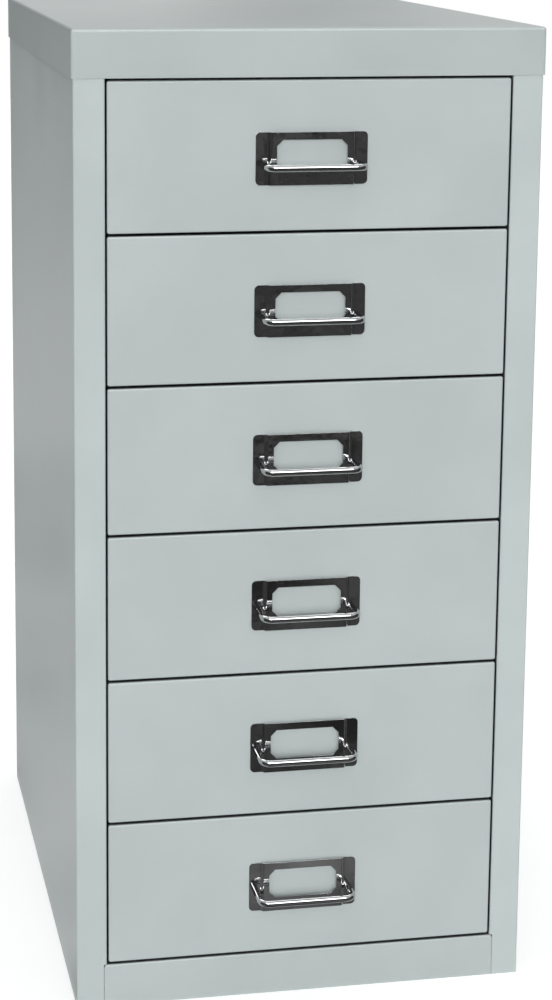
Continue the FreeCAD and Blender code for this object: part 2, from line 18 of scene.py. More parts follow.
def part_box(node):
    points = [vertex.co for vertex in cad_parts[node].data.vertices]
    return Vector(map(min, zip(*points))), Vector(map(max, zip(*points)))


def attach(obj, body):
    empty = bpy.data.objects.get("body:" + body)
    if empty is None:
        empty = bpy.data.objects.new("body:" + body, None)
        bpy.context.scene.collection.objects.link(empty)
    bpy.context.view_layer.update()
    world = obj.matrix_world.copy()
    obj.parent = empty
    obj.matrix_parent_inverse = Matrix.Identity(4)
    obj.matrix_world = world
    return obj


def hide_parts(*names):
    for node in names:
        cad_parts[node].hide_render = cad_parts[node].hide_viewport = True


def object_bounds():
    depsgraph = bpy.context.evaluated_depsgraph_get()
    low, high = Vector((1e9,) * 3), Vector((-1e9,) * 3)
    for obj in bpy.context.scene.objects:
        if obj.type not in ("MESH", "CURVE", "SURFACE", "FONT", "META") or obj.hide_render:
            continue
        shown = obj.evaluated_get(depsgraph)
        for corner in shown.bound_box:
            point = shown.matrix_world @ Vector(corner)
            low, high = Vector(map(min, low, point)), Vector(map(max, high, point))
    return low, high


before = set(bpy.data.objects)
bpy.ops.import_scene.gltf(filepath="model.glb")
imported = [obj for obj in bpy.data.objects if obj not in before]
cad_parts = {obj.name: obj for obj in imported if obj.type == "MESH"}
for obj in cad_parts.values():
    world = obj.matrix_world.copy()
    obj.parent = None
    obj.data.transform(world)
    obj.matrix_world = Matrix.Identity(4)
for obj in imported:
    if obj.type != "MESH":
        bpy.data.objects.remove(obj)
CAD_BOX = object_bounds()

MM = 0.001
DRAWERS = 6

log = logging.getLogger("drawer_cabinet")

NodeInput = bpy.types.NodeSocket | float | tuple[float, ...]


class Slot(Enum):
    """The record's material slots."""

    PAINTED_STEEL = "painted_steel"
    GALVANISED_STEEL = "galvanised_steel"
    CHROME_PLATE = "chrome_plate"
    ZINC_PLATE = "zinc_plate"
    NYLON = "nylon"


class Side(Enum):
    """The cabinet's two sides, with the sign of their X."""

    LEFT = -1
    RIGHT = 1


def linear(colour: str) -> tuple[float, float, float, float]:
    """Turn an sRGB hex colour to linear light.

    Args:
        colour: the colour as #RRGGBB.

    Returns:
        Red, green, blue and an alpha of 1.
    """
    shares = [int(colour[start:start + 2], 16) / 255 for start in (1, 3, 5)]
    light = [share / 12.92 if share <= 0.04045 else ((share + 0.055) / 1.055) ** 2.4
             for share in shares]
    return (light[0], light[1], light[2], 1.0)


def per_metre(millimetres: float) -> float:
    """The scale at which a pattern repeats about once in that many millimetres."""
    return 1 / (millimetres * MM)


def add_node(tree: bpy.types.NodeTree, kind: str, inputs: dict[str | int, NodeInput] | None = None,
             **settings: object) -> bpy.types.Node:
    """Add a node with its settings and links.

    Args:
        tree: the tree that gets the node.
        kind: the node's type.
        inputs: what each input gets, a socket to link from or a plain value.
        **settings: the node's own properties.

    Returns:
        The new node.
    """
    node = tree.nodes.new(kind)
    for name, setting in settings.items():
        setattr(node, name, setting)
    for place, source in (inputs or {}).items():
        if isinstance(source, bpy.types.NodeSocket):
            tree.links.new(source, node.inputs[place])
        else:
            node.inputs[place].default_value = source
    return node


def new_material(name: str) -> tuple[bpy.types.Material, bpy.types.NodeTree]:
    """Make an empty node material.

    Args:
        name: the material's name.

    Returns:
        The material and its node tree, which holds only the output.
    """
    material = bpy.data.materials.new(name)
    material.use_nodes = True
    tree = material.node_tree
    tree.nodes.clear()
    add_node(tree, "ShaderNodeOutputMaterial")
    return material, tree


def close_material(tree: bpy.types.NodeTree, shader: bpy.types.Node) -> None:
    """Link a shader to the material's output."""
    tree.links.new(shader.outputs[0], tree.nodes["Material Output"].inputs["Surface"])


@dataclass(frozen=True)
class PowderCoat:
    """Polyester powder coat, sprayed dry on the folded sheet and baked.

    It gives the eye an even, semi-matt light grey with a faint green cast, a soft orange peel in
    the gloss, and wide panels whose sheet is not quite flat.
    """

    name: str = "semi_matt_powder_coat"
    light_colour: str = "#C2CBCA"
    dark_colour: str = "#BAC3C2"
    mottle_mm: float = 90.0
    mottle_reach: float = 0.2
    mottle_own_step: float = 40.0
    # The real grain is too fine to show in the render, so it is drawn this coarse.
    grain_mm: float = 1.1
    grain_share: float = 0.2
    peel_mm: float = 2.2
    peel_depth_mm: float = 0.006
    roughness: float = 0.32
    roughness_sway: float = 0.03
    gloss_level: float = 0.45
    # The gap settings paint shade into the colour in the narrow gaps behind the front.
    gap_mm: float = 4.0
    gap_start_mm: float = 0.2
    gap_depth_mm: float = 0.8
    gap_closed: float = 0.25
    gap_open: float = 0.7
    gap_share: float = 0.06
    gap_samples: int = 6
    wave_along_mm: float = 420.0
    wave_up_mm: float = 70.0
    wave_depth_mm: float = 0.0
    weld_band_share: float = 0.15
    weld_band_start: float = 0.7

    def make(self) -> bpy.types.Material:
        """Build the material.

        Returns:
            The material.
        """
        material, tree = new_material(self.name)
        place = add_node(tree, "ShaderNodeTexCoord").outputs["Object"]
        own = add_node(tree, "ShaderNodeMath",
                       {0: add_node(tree, "ShaderNodeObjectInfo").outputs["Random"],
                        1: self.mottle_own_step}, operation="MULTIPLY")
        clouds = add_node(tree, "ShaderNodeTexNoise",
                          {"Vector": place, "W": own.outputs[0],
                           "Scale": per_metre(self.mottle_mm), "Detail": 3.0},
                          noise_dimensions="4D")
        mottle = add_node(tree, "ShaderNodeMapRange",
                          {"Value": clouds.outputs[0], 1: 0.5 - self.mottle_reach,
                           2: 0.5 + self.mottle_reach}, interpolation_type="SMOOTHSTEP")
        grain = add_node(tree, "ShaderNodeTexNoise",
                         {"Vector": place, "Scale": per_metre(self.grain_mm), "Detail": 1.0})
        tone = add_node(tree, "ShaderNodeMix",
                        {0: 1 - self.grain_share, 2: grain.outputs[0], 3: mottle.outputs[0]})
        colour = add_node(tree, "ShaderNodeMix",
                          {0: tone.outputs[0], 6: linear(self.dark_colour),
                           7: linear(self.light_colour)}, data_type="RGBA")
        # Painted shade: the colour darkens towards black where ambient occlusion finds a narrow gap behind the
        # front.
        colour = self.paint_shade_in_gaps(tree, place, colour)
        gloss = add_node(tree, "ShaderNodeMapRange",
                         {"Value": mottle.outputs[0], 3: self.roughness - self.roughness_sway,
                          4: self.roughness + self.roughness_sway})
        peel = add_node(tree, "ShaderNodeTexNoise",
                        {"Vector": place, "Scale": per_metre(self.peel_mm), "Detail": 1.0})
        bump = add_node(tree, "ShaderNodeBump",
                        {"Height": peel.outputs[0], "Distance": self.peel_depth_mm * MM})
        if self.wave_depth_mm:
            bump = self.add_waves(tree, place, bump)
        shader = add_node(tree, "ShaderNodeBsdfPrincipled",
                          {"Base Color": colour.outputs[2], "Roughness": gloss.outputs[0],
                           "Specular IOR Level": self.gloss_level, "Normal": bump.outputs[0]})
        close_material(tree, shader)
        return material

    def paint_shade_in_gaps(self, tree: bpy.types.NodeTree, place: bpy.types.NodeSocket,
                     colour: bpy.types.Node) -> bpy.types.Node:
        """Paint shade into the colour down in the narrow gaps behind the front, darker where ambient occlusion
        finds the gap more closed.

        Args:
            tree: the material's tree.
            place: the place on the object, in metres.
            colour: the node that gives the paint's own colour.

        Returns:
            The node that gives the colour with the painted shade in the gaps.
        """
        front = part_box("drawer_1_front")[0].y
        along = add_node(tree, "ShaderNodeSeparateXYZ", {0: place}).outputs["Y"]
        depth = add_node(tree, "ShaderNodeMapRange",
                         {"Value": along, 1: front + self.gap_start_mm * MM,
                          2: front + self.gap_depth_mm * MM})
        # Painted shade: ambient occlusion sets how dark the colour gets in the gap.
        opening = add_node(tree, "ShaderNodeAmbientOcclusion", {"Distance": self.gap_mm * MM},
                           samples=self.gap_samples)
        gap_shade = add_node(tree, "ShaderNodeMapRange",
                        {"Value": opening.outputs["AO"], 1: self.gap_closed,
                         2: self.gap_open, 3: self.gap_share, 4: 1.0})
        gap_shade = add_node(tree, "ShaderNodeMix", {0: depth.outputs[0], 2: 1.0, 3: gap_shade.outputs[0]})
        return add_node(tree, "ShaderNodeMix",
                        {0: gap_shade.outputs[0], 6: (0.0, 0.0, 0.0, 1.0), 7: colour.outputs[2]},
                        data_type="RGBA")

    def add_waves(self, tree: bpy.types.NodeTree, place: bpy.types.NodeSocket,
                  bump: bpy.types.Node) -> bpy.types.Node:
        """Bend the normals as a wide sheet does between its folds and where the runners are welded.

        Args:
            tree: the material's tree.
            place: the place on the object, in metres.
            bump: the bump node under this one.

        Returns:
            The upper bump node.
        """
        low, high = runner_heights()
        stretched = add_node(tree, "ShaderNodeMapping",
                             {"Vector": place,
                              "Scale": (per_metre(self.wave_along_mm),
                                        per_metre(self.wave_along_mm),
                                        per_metre(self.wave_up_mm))})
        sway = add_node(tree, "ShaderNodeTexNoise",
                        {"Vector": stretched.outputs[0], "Scale": 1.0, "Detail": 2.0})
        up = add_node(tree, "ShaderNodeSeparateXYZ", {0: place}).outputs["Z"]
        pitch = (high - low) / (DRAWERS - 1)
        turns = add_node(tree, "ShaderNodeMath", {0: up, 1: low}, operation="SUBTRACT")
        turns = add_node(tree, "ShaderNodeMath", {0: turns.outputs[0], 1: math.tau / pitch},
                         operation="MULTIPLY")
        wave = add_node(tree, "ShaderNodeMath", {0: turns.outputs[0]}, operation="COSINE")
        band = add_node(tree, "ShaderNodeMapRange",
                        {"Value": wave.outputs[0], 1: self.weld_band_start, 2: 1.0, 3: 0.0,
                         4: self.weld_band_share}, interpolation_type="SMOOTHSTEP")
        height = add_node(tree, "ShaderNodeMath",
                          {0: sway.outputs[0], 1: band.outputs[0]}, operation="ADD")
        return add_node(tree, "ShaderNodeBump",
                        {"Height": height.outputs[0], "Distance": self.wave_depth_mm * MM,
                         "Normal": bump.outputs[0]})


@dataclass(frozen=True)
class ChromePlate:
    """Bright chrome, plated over pressed steel and drawn wire.

    It gives the eye a neutral mirror that is as dark as what stands before it, with hard white
    glints along the wire, a little haze from handling, and pressed faces that aren't quite flat.
    """

    name: str = "bright_chrome_plate"
    colour: str = "#C4C4C5"
    haze_mm: float = 7.0
    haze_start: float = 0.4
    haze_full: float = 0.75
    clean_roughness: float = 0.04
    hazed_roughness: float = 0.1
    dent_mm: float = 6.0
    dent_depth_mm: float = 0.07

    def make(self) -> bpy.types.Material:
        """Build the material.

        Returns:
            The material.
        """
        material, tree = new_material(self.name)
        place = add_node(tree, "ShaderNodeTexCoord").outputs["Object"]
        haze = add_node(tree, "ShaderNodeTexNoise",
                        {"Vector": place, "Scale": per_metre(self.haze_mm), "Detail": 4.0})
        gloss = add_node(tree, "ShaderNodeMapRange",
                         {"Value": haze.outputs[0], 1: self.haze_start, 2: self.haze_full,
                          3: self.clean_roughness, 4: self.hazed_roughness})
        dents = add_node(tree, "ShaderNodeTexNoise",
                         {"Vector": place, "Scale": per_metre(self.dent_mm), "Detail": 1.0})
        bump = add_node(tree, "ShaderNodeBump",
                        {"Height": dents.outputs[0], "Distance": self.dent_depth_mm * MM})
        shader = add_node(tree, "ShaderNodeBsdfPrincipled",
                          {"Base Color": linear(self.colour), "Metallic": 1.0,
                           "Roughness": gloss.outputs[0], "Normal": bump.outputs[0]})
        close_material(tree, shader)
        return material


@dataclass(frozen=True)
class GalvanisedSheet:
    """Hot dip galvanised steel sheet, left bare.

    It gives the eye a grey metal with flat crystals, each with its own shade and gloss.
    """

    name: str = "hot_dip_galvanised_sheet"
    light_colour: str = "#B9BDBF"
    dark_colour: str = "#94999C"
    spangle_mm: float = 6.0
    smooth_roughness: float = 0.32
    rough_roughness: float = 0.5

    def make(self) -> bpy.types.Material:
        """Build the material.

        Returns:
            The material.
        """
        material, tree = new_material(self.name)
        place = add_node(tree, "ShaderNodeTexCoord").outputs["Object"]
        crystals = add_node(tree, "ShaderNodeTexVoronoi",
                            {"Vector": place, "Scale": per_metre(self.spangle_mm)})
        shade = add_node(tree, "ShaderNodeSeparateColor", {0: crystals.outputs["Color"]})
        colour = add_node(tree, "ShaderNodeMix",
                          {0: shade.outputs[0], 6: linear(self.dark_colour),
                           7: linear(self.light_colour)}, data_type="RGBA")
        gloss = add_node(tree, "ShaderNodeMapRange",
                         {"Value": shade.outputs[1], 3: self.smooth_roughness,
                          4: self.rough_roughness})
        shader = add_node(tree, "ShaderNodeBsdfPrincipled",
                          {"Base Color": colour.outputs[2], "Metallic": 1.0,
                           "Roughness": gloss.outputs[0]})
        close_material(tree, shader)
        return material


@dataclass(frozen=True)
class ZincPlate:
    """Bright zinc, electroplated on stamped steel washers.

    It gives the eye a pale blue white metal with a fine haze.
    """

    name: str = "bright_zinc_plate"
    light_colour: str = "#C9CDD1"
    dark_colour: str = "#B4B9BF"
    haze_mm: float = 1.5
    clean_roughness: float = 0.22
    hazed_roughness: float = 0.36

    def make(self) -> bpy.types.Material:
        """Build the material.

        Returns:
            The material.
        """
        material, tree = new_material(self.name)
        place = add_node(tree, "ShaderNodeTexCoord").outputs["Object"]
        haze = add_node(tree, "ShaderNodeTexNoise",
                        {"Vector": place, "Scale": per_metre(self.haze_mm), "Detail": 3.0})
        colour = add_node(tree, "ShaderNodeMix",
                          {0: haze.outputs[0], 6: linear(self.dark_colour),
                           7: linear(self.light_colour)}, data_type="RGBA")
        gloss = add_node(tree, "ShaderNodeMapRange",
                         {"Value": haze.outputs[0], 3: self.clean_roughness,
                          4: self.hazed_roughness})
        shader = add_node(tree, "ShaderNodeBsdfPrincipled",
                          {"Base Color": colour.outputs[2], "Metallic": 1.0,
                           "Roughness": gloss.outputs[0]})
        close_material(tree, shader)
        return material


@dataclass(frozen=True)
class MouldedNylon:
    """Natural nylon, injection moulded.

    It gives the eye a milky off-white that lets a little light in, with a fine spark eroded grain.
    """

    name: str = "moulded_nylon"
    light_colour: str = "#E4DFD1"
    dark_colour: str = "#D8D2C2"
    # The real grain is too fine to show in a render, so it is drawn this coarse.
    grain_mm: float = 0.6
    grain_depth_mm: float = 0.02
    roughness: float = 0.45
    glow_share: float = 0.3
    glow_mm: float = 1.2

    def make(self) -> bpy.types.Material:
        """Build the material.

        Returns:
            The material.
        """
        material, tree = new_material(self.name)
        place = add_node(tree, "ShaderNodeTexCoord").outputs["Object"]
        grain = add_node(tree, "ShaderNodeTexNoise",
                         {"Vector": place, "Scale": per_metre(self.grain_mm), "Detail": 2.0})
        colour = add_node(tree, "ShaderNodeMix",
                          {0: grain.outputs[0], 6: linear(self.dark_colour),
                           7: linear(self.light_colour)}, data_type="RGBA")
        bump = add_node(tree, "ShaderNodeBump",
                        {"Height": grain.outputs[0], "Distance": self.grain_depth_mm * MM})
        shader = add_node(tree, "ShaderNodeBsdfPrincipled",
                          {"Base Color": colour.outputs[2], "Roughness": self.roughness,
                           "Subsurface Weight": self.glow_share,
                           "Subsurface Scale": self.glow_mm * MM, "Normal": bump.outputs[0]})
        close_material(tree, shader)
        return material


def runner_heights() -> tuple[float, float]:
    """Find how high the lowest and the highest runner are welded.

    Returns:
        The height of the middle of each, in metres.
    """
    heights = []
    for number in (DRAWERS, 1):
        low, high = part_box(f"runner_{number}_left")
        heights.append((low.z + high.z) / 2)
    return heights[0], heights[1]


def dress(node: str, material: bpy.types.Material) -> None:
    """Give a frame node its finish."""
    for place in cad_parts[node].material_slots:
        place.material = material


def finish_piece(name: str, mesh: bmesh.types.BMesh, material: bpy.types.Material, body: str) -> bpy.types.Object:
    """Make a piece of the object from a mesh.

    Args:
        name: the piece's name.
        mesh: its shape, in the frame's metres. It is freed.
        material: its finish.
        body: the frame body that it moves with.

    Returns:
        The new object.
    """
    data = bpy.data.meshes.new(name)
    mesh.to_mesh(data)
    mesh.free()
    data.materials.append(material)
    data.shade_smooth()
    piece = bpy.data.objects.new(name, data)
    bpy.context.scene.collection.objects.link(piece)
    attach(piece, body)
    return piece


@dataclass
class Carcass:
    """The folded sides, the cap, the base, the back and the two front rails."""

    paint: bpy.types.Material
    cap_paint: bpy.types.Material
    wide_paint: bpy.types.Material
    galvanised: bpy.types.Material
    weld_count: int = 9
    weld_inset_mm: float = 7.5
    weld_end_mm: float = 30.0
    weld_radius_mm: float = 2.6
    weld_rim_mm: float = 0.7
    weld_height_mm: float = 0.14
    weld_steps: int = 24

    def build(self) -> None:
        """Dress the carcass and its runners, and add the weld marks."""
        finishes = {"base_panel": self.paint, "bottom_rail": self.paint,
                    "header_rail": self.paint, "top_cap": self.cap_paint,
                    "left_side": self.wide_paint, "right_side": self.wide_paint,
                    "back_panel": self.wide_paint}
        for node, finish in finishes.items():
            dress(node, finish)
            log.info("dressed %s", node)
        for number in range(1, DRAWERS + 1):
            for side in Side:
                dress(f"runner_{number}_{side.name.lower()}", self.galvanised)
            log.info("dressed the runners of drawer %d", number)
        for side in Side:
            self.add_weld_marks(side)

    def add_weld_marks(self, side: Side) -> None:
        """Add the row of spot weld rims down one rear flange, which holds the back panel.

        Args:
            side: the side panel whose flange gets the row.
        """
        low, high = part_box(f"{side.name.lower()}_side")
        outer = low.x if side is Side.LEFT else high.x
        across = outer - side.value * self.weld_inset_mm * MM
        bottom, top = low.z + self.weld_end_mm * MM, high.z - self.weld_end_mm * MM
        mesh = bmesh.new()
        for count in range(self.weld_count):
            up = bottom + (top - bottom) * count / (self.weld_count - 1)
            self.add_weld_rim(mesh, Vector((across, high.y, up)))
        name = f"weld_marks_{side.name.lower()}"
        finish_piece(name, mesh, self.wide_paint, "carcass")
        log.info("built %s", name)

    def add_weld_rim(self, mesh: bmesh.types.BMesh, centre: Vector) -> None:
        """Add one round rim on a face that looks along +Y.

        Args:
            mesh: the mesh that gets the rim.
            centre: the middle of the weld, on the face.
        """
        profile = [(self.weld_radius_mm + self.weld_rim_mm, 0.0),
                   (self.weld_radius_mm + self.weld_rim_mm / 2, self.weld_height_mm),
                   (self.weld_radius_mm, self.weld_height_mm / 2),
                   (self.weld_radius_mm / 2, self.weld_height_mm / 4)]
        rings = []
        for radius, height in profile:
            ring = []
            for step in range(self.weld_steps):
                angle = math.tau * step / self.weld_steps
                spot = Vector((radius * math.cos(angle), height, radius * math.sin(angle)))
                ring.append(mesh.verts.new(centre + spot * MM))
            rings.append(ring)
        for outer, inner in zip(rings, rings[1:]):
            for step in range(self.weld_steps):
                after = (step + 1) % self.weld_steps
                mesh.faces.new((outer[step], inner[step], inner[after], outer[after]))
        mesh.faces.new(rings[-1][::-1])


@dataclass
class CardPlate:
    """The pressed card plate of a drawer: flat flanges, a raised middle and a window."""

    number: int
    chrome: bpy.types.Material
    steel_mm: float = 0.8
    corner_mm: float = 2.8
    flange_mm: float = 7.1
    slope_mm: float = 1.5
    raise_mm: float = 1.6
    bend_mm: float = 0.9
    bend_steps: int = 5
    corner_steps: int = 6
    window_side_mm: float = 3.65
    window_top_mm: float = 4.4
    window_sill_mm: float = 8.6
    window_chamfer_mm: float = 3.6
    edge_mm: float = 0.1
    edge_steps: int = 3
    edge_from_degrees: float = 50.0

    def build(self) -> bpy.types.Object:
        """Build the plate in the place of its frame node.

        Returns:
            The plate.
        """
        node = f"drawer_{self.number}_card_plate"
        low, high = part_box(node)
        width, height = (high.x - low.x) / MM, (high.z - low.z) / MM
        mesh = self.outline(width, height)
        self.split_at_folds(mesh, width)
        face = high.y
        for vert in mesh.verts:
            out = self.steel_mm + self.raised(abs(vert.co.x), width)
            vert.co = Vector((vert.co.x * MM, face - out * MM, low.z + vert.co.z * MM))
        self.add_foot(mesh, width, low, face)
        piece = finish_piece(f"card_plate_{self.number}", mesh, self.chrome,
                             f"drawer_{self.number}")
        sheet = piece.modifiers.new("sheet", "SOLIDIFY")
        sheet.thickness = self.steel_mm * MM
        sheet.offset = -1
        sheet.use_even_offset = True
        edges = piece.modifiers.new("rolled edges", "BEVEL")
        edges.width = self.edge_mm * MM
        edges.segments = self.edge_steps
        edges.limit_method = "ANGLE"
        edges.angle_limit = math.radians(self.edge_from_degrees)
        edges.use_clamp_overlap = True
        edges.harden_normals = True
        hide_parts(node)
        return piece

    def outline(self, width: float, height: float) -> bmesh.types.BMesh:
        """Draw the flat blank with its round corners and its window.

        Args:
            width: the plate's width, in millimetres.
            height: the plate's height, in millimetres.

        Returns:
            The blank, in millimetres.
        """
        mesh = bmesh.new()
        side, radius = width / 2, self.corner_mm
        corners = [(side - radius, height - radius, 0), (radius - side, height - radius, 1),
                   (radius - side, radius, 2), (side - radius, radius, 3)]
        rim = []
        for across, up, quarter in corners:
            for step in range(self.corner_steps + 1):
                angle = (quarter + step / self.corner_steps) * math.pi / 2
                rim.append((across + radius * math.cos(angle), up + radius * math.sin(angle)))
        right = side - self.flange_mm - self.slope_mm - self.window_side_mm
        top, sill = height - self.window_top_mm, self.window_sill_mm
        cut = self.window_chamfer_mm
        window = [(right, sill + cut), (right, top - cut), (right - cut, top),
                  (cut - right, top), (-right, top - cut), (-right, sill + cut),
                  (cut - right, sill), (right - cut, sill)]
        edges = []
        for loop in (rim, window):
            verts = [mesh.verts.new((across, 0, up)) for across, up in loop]
            edges += [mesh.edges.new((here, there))
                      for here, there in zip(verts, verts[1:] + verts[:1])]
        bmesh.ops.triangle_fill(mesh, edges=edges, use_beauty=True, normal=(0, -1, 0))
        return mesh

    def split_at_folds(self, mesh: bmesh.types.BMesh, width: float) -> None:
        """Cut the blank along the lines that the folds bend at.

        Args:
            mesh: the blank, in millimetres.
            width: the plate's width, in millimetres.
        """
        fold = width / 2 - self.flange_mm
        rise = fold - self.slope_mm
        for middle in (fold, rise):
            for step in range(-self.bend_steps, self.bend_steps + 1):
                across = middle + self.bend_mm * step / self.bend_steps / 2
                for sign in (-1, 1):
                    everything = mesh.verts[:] + mesh.edges[:] + mesh.faces[:]
                    bmesh.ops.bisect_plane(mesh, geom=everything, plane_co=(sign * across, 0, 0),
                                           plane_no=(1, 0, 0))

    def raised(self, across: float, width: float) -> float:
        """How far the sheet stands out at a distance from the middle.

        Args:
            across: the distance from the middle, in millimetres.
            width: the plate's width, in millimetres.

        Returns:
            The height over the flanges, in millimetres.
        """
        fold = width / 2 - self.flange_mm
        rise = fold - self.slope_mm
        slope = self.raise_mm / self.slope_mm
        half = self.bend_mm / 2
        if across >= fold + half:
            return 0.0
        if across > fold - half:
            return slope * (fold + half - across) ** 2 / (2 * self.bend_mm)
        if across >= rise + half:
            return slope * (fold - across)
        if across > rise - half:
            return self.raise_mm - slope * (across - rise + half) ** 2 / (2 * self.bend_mm)
        return self.raise_mm

    def add_foot(self, mesh: bmesh.types.BMesh, width: float, low: Vector, face: float) -> None:
        """Add the foot that folds back to the drawer's face under the raised middle.

        Args:
            mesh: the plate's mesh, in metres.
            width: the plate's width, in millimetres.
            low: the lowest corner of the plate.
            face: the Y of the drawer's face.
        """
        reach = width / 2 - self.flange_mm - self.slope_mm
        half = self.raise_mm / 2
        front = face - (self.raise_mm + self.steel_mm / 2) * MM
        spots = [(-reach, front), (-reach - half, face), (reach + half, face), (reach, front)]
        verts = [mesh.verts.new((across * MM, along, low.z)) for across, along in spots]
        mesh.faces.new(verts)


@dataclass
class Drawer:
    """A drawer: its front, tray, stops, card plate, pull bar and washers."""

    number: int
    paint: bpy.types.Material
    chrome: bpy.types.Material
    zinc: bpy.types.Material
    nylon: bpy.types.Material

    def build(self) -> None:
        """Dress the drawer's nodes and build its card plate."""
        finishes = {"front": self.paint, "tray": self.paint, "stops": self.nylon,
                    "pull_bar": self.chrome, "pull_washers": self.zinc}
        for piece, material in finishes.items():
            dress(f"drawer_{self.number}_{piece}", material)
        CardPlate(self.number, self.chrome).build()
        log.info("dressed drawer %d", self.number)


class LampRole(Enum):
    """What a lamp reaches: matt surfaces, or only gloss and metal."""

    MATT = ("visible_glossy",)
    GLINT = ("visible_diffuse",)


@dataclass(frozen=True)
class SoftBox:
    """A rectangular soft lamp that looks at the middle of the cabinet.

    Its radiance is what a mirror would show of it, where 1 is white paper.
    """

    name: str
    role: LampRole
    place: tuple[float, float, float]
    width_m: float
    height_m: float
    radiance: float
    aim: tuple[float, float, float] = (0.0, -0.2, 0.32)

    def build(self) -> None:
        """Add the lamp to the scene."""
        data = bpy.data.lights.new(self.name, "AREA")
        data.shape = "RECTANGLE"
        data.size = self.width_m
        data.size_y = self.height_m
        data.energy = self.radiance * math.pi * self.width_m * self.height_m
        hang_lamp(self.name, data, self.role, Vector(self.place), Vector(self.aim))


@dataclass(frozen=True)
class FarLamp:
    """A large soft lamp so far off that it lights the cabinet evenly from top to foot.

    Its share is the light that it gives to a face turned to it, where 1 shows a colour as written.
    """

    name: str
    azimuth: float
    elevation: float
    spread: float
    share: float

    def build(self) -> None:
        """Add the lamp to the scene."""
        data = bpy.data.lights.new(self.name, "SUN")
        data.angle = math.radians(self.spread)
        data.energy = self.share * math.pi
        turn, tilt = math.radians(self.azimuth), math.radians(self.elevation)
        place = Vector((math.sin(turn) * math.cos(tilt), -math.cos(turn) * math.cos(tilt),
                        math.sin(tilt)))
        hang_lamp(self.name, data, LampRole.MATT, place, Vector())


def hang_lamp(name: str, data: bpy.types.Light, role: LampRole, place: Vector,
              aim: Vector) -> None:
    """Put a lamp in the scene, turned to what it lights and out of the camera's sight.

    Args:
        name: the lamp's name.
        data: the lamp itself.
        role: what the lamp reaches.
        place: where it hangs.
        aim: the point that it looks at.
    """
    lamp = bpy.data.objects.new(name, data)
    lamp.location = place
    lamp.rotation_euler = (aim - place).to_track_quat("-Z", "Y").to_euler()
    lamp.visible_camera = False
    for ray in role.value:
        setattr(lamp, ray, False)
    bpy.context.scene.collection.objects.link(lamp)


# The low key leaves short shadows under the card plates, and the light overhead brings out the cap.
# The box draws the white lines along the pulls and the paint's edges.
LAMPS = (
    FarLamp("front_key", azimuth=-8.0, elevation=15.0, spread=35.0, share=0.485),
    FarLamp("ceiling_light", azimuth=0.0, elevation=90.0, spread=60.0, share=0.33),
    SoftBox("high_front_box", LampRole.GLINT, place=(-0.3, -2.07, 2.09), width_m=2.7,
            height_m=1.0, radiance=7.5),
    SoftBox("far_left_strip", LampRole.GLINT, place=(-1.5, -4.4, 1.6), width_m=0.6,
            height_m=1.4, radiance=5.0),
)


